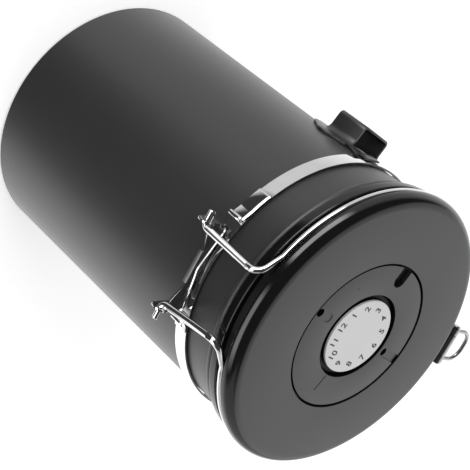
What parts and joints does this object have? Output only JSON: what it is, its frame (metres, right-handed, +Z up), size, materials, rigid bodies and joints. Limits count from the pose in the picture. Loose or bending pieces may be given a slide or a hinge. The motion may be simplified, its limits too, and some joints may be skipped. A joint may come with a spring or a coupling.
{
  "type": "coffee canister",
  "caption": "Round black steel coffee canister with hinged lid, wire bail and latch lever, turning month ring, gas valve and side scoop holder.",
  "frame": {"origin": "centre of the flat base, on the canister's axis", "axes": "+Z up along the canister's axis; -Y towards the latch; +Y towards the lid's hinge"},
  "size_m": [0.1355, 0.1579, 0.1865],
  "materials": {
    "black_coat": "matte",
    "satin_black_metal": "satin",
    "polished_steel": "polished",
    "gloss_black": "gloss",
    "satin_black": "satin",
    "label_grey": "satin",
    "white_plastic": "satin",
    "filter_felt": "matte",
    "silicone": "matte"
  },
  "bodies": {
    "canister": {"canister_shell": "black_coat", "clamp_band": "polished_steel", "band_end_left": "polished_steel", "band_end_right": "polished_steel", "scoop_holder": "satin_black_metal", "rear_bracket": "polished_steel", "hinge_pin": "polished_steel", "hinge_loop": "polished_steel"},
    "lid": {"lid_base": "gloss_black", "lid_cap": "gloss_black", "lid_gasket": "silicone", "lid_hinge_strap": "polished_steel", "bail_wire": "polished_steel", "label_disc": "label_grey", "valve_housing": "white_plastic", "valve_cap": "white_plastic", "valve_filter": "filter_felt", "filter_grille": "white_plastic"},
    "lever": {"latch_lever": "polished_steel"},
    "ring": {"month_ring": "satin_black"},
    "flap": {"valve_flap": "silicone"}
  },
  "joints": [
    {"name": "lid_hinge", "type": "hinge", "parent": "canister", "child": "lid", "pos_m": [0, 0.07, 0.182], "axis": [-1, 0, 0], "range_deg": [0, 105]},
    {"name": "latch_hinge", "type": "hinge", "parent": "lid", "child": "lever", "pos_m": [0, -0.0703, 0.1467], "axis": [-1, 0, 0], "range_deg": [0, 100]},
    {"name": "ring_turn", "type": "hinge", "parent": "lid", "child": "ring", "pos_m": [0, 0, 0.1865], "axis": [0, 0, 1], "continuous": true},
    {"name": "flap_lift", "type": "slide", "parent": "lid", "child": "flap", "axis": [0, 0, 1], "range_m": [0, 0.001]}
  ]
}
